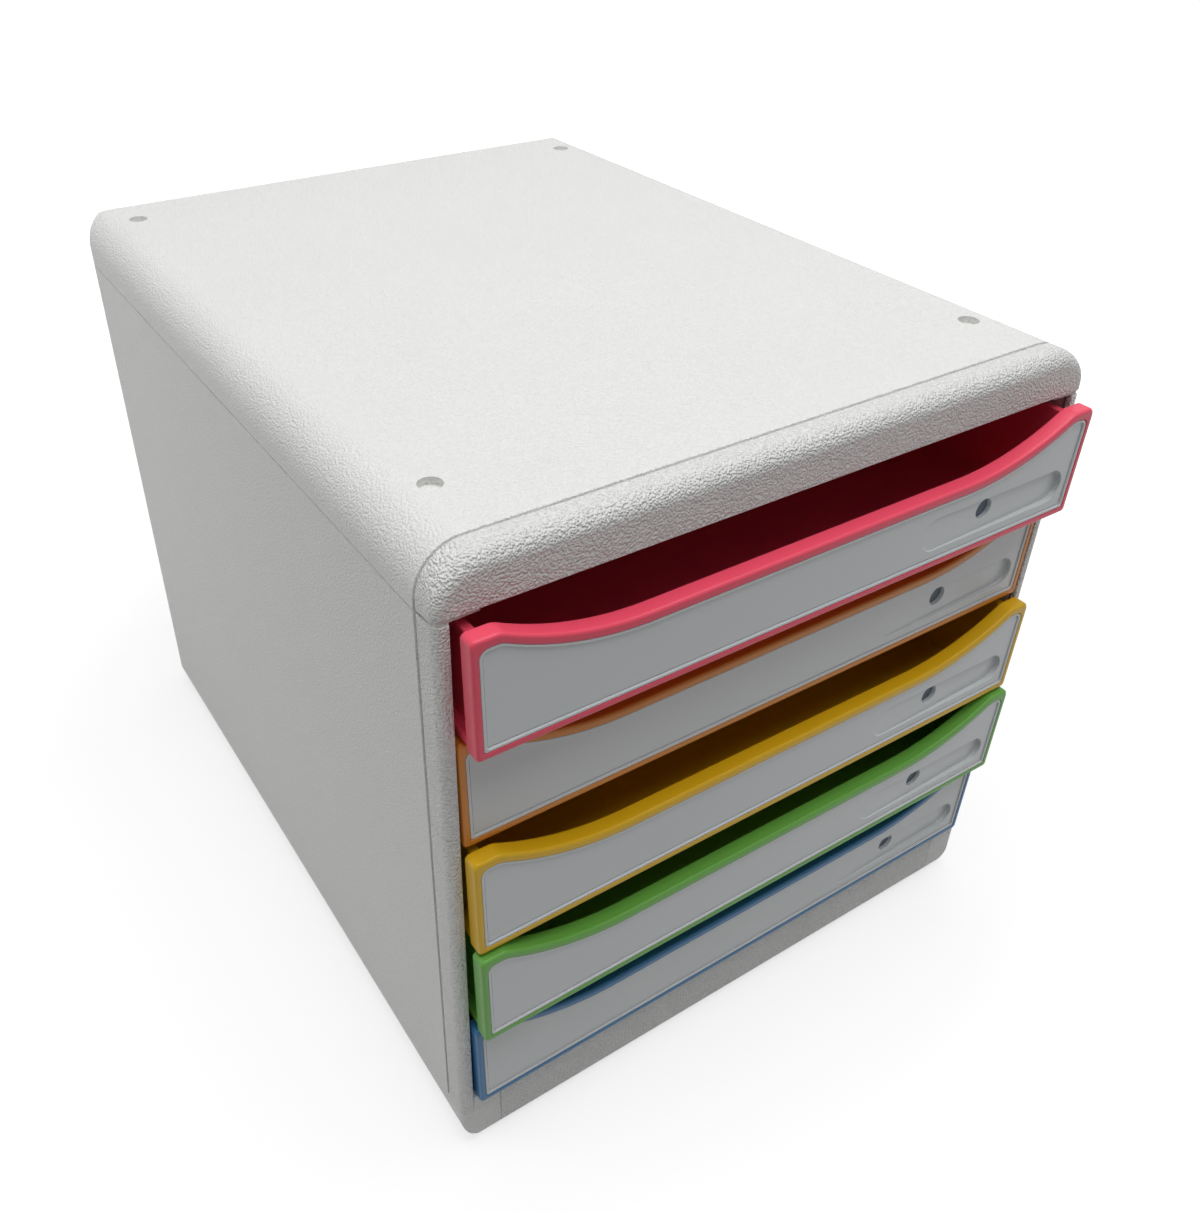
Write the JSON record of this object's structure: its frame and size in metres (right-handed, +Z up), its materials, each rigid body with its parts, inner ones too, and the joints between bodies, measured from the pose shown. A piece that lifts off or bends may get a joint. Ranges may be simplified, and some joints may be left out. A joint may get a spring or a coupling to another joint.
{
  "type": "drawer tower",
  "caption": "Desk tower of shallow pull-out drawers with dipped coloured fronts, label plates and peep holes, in a grained casing on small stacking feet.",
  "frame": {"origin": "centre of the four feet on the standing plane", "axes": "+Z up, the drawers open towards -Y, +X to the right seen from the front"},
  "size_m": [0.27, 0.3524, 0.271],
  "materials": {
    "casing": "moulded plastic with a fine leather grain",
    "runners": "plain moulded plastic",
    "feet": "plain moulded plastic",
    "front_pink": "satin moulded plastic, coloured through",
    "front_orange": "satin moulded plastic, coloured through",
    "front_yellow": "satin moulded plastic, coloured through",
    "front_green": "satin moulded plastic, coloured through",
    "front_blue": "satin moulded plastic, coloured through",
    "front_plate": "smooth satin moulded plastic",
    "label_card": "dull printed card"
  },
  "bodies": {
    "casing": {"top_cover": "casing", "left_side_panel": "casing", "right_side_panel": "casing", "base_panel": "casing", "back_panel": "casing", "top_bezel": "casing", "bottom_bezel": "casing", "left_stile_upper": "casing", "left_stile_lower": "casing", "right_stile_upper": "casing", "right_stile_lower": "casing", "left_runner": "runners", "right_runner": "runners", "feet": "feet"},
    "drawer_1": {"tray_1": "front_pink", "front_plate_1": "front_plate", "label_card_1": "label_card"},
    "drawer_2": {"tray_2": "front_orange", "front_plate_2": "front_plate", "label_card_2": "label_card"},
    "drawer_3": {"tray_3": "front_yellow", "front_plate_3": "front_plate", "label_card_3": "label_card"},
    "drawer_4": {"tray_4": "front_green", "front_plate_4": "front_plate", "label_card_4": "label_card"},
    "drawer_5": {"tray_5": "front_blue", "front_plate_5": "front_plate", "label_card_5": "label_card"}
  },
  "joints": [
    {"name": "drawer_1_slide", "type": "slide", "parent": "casing", "child": "drawer_1", "axis": [0, -1, 0], "range_m": [-0.0103, 0.2397]},
    {"name": "drawer_2_slide", "type": "slide", "parent": "casing", "child": "drawer_2", "axis": [0, -1, 0], "range_m": [0, 0.25]},
    {"name": "drawer_3_slide", "type": "slide", "parent": "casing", "child": "drawer_3", "axis": [0, -1, 0], "range_m": [-0.007, 0.243]},
    {"name": "drawer_4_slide", "type": "slide", "parent": "casing", "child": "drawer_4", "axis": [0, -1, 0], "range_m": [-0.0093, 0.2407]},
    {"name": "drawer_5_slide", "type": "slide", "parent": "casing", "child": "drawer_5", "axis": [0, -1, 0], "range_m": [-0.0037, 0.2463]}
  ]
}
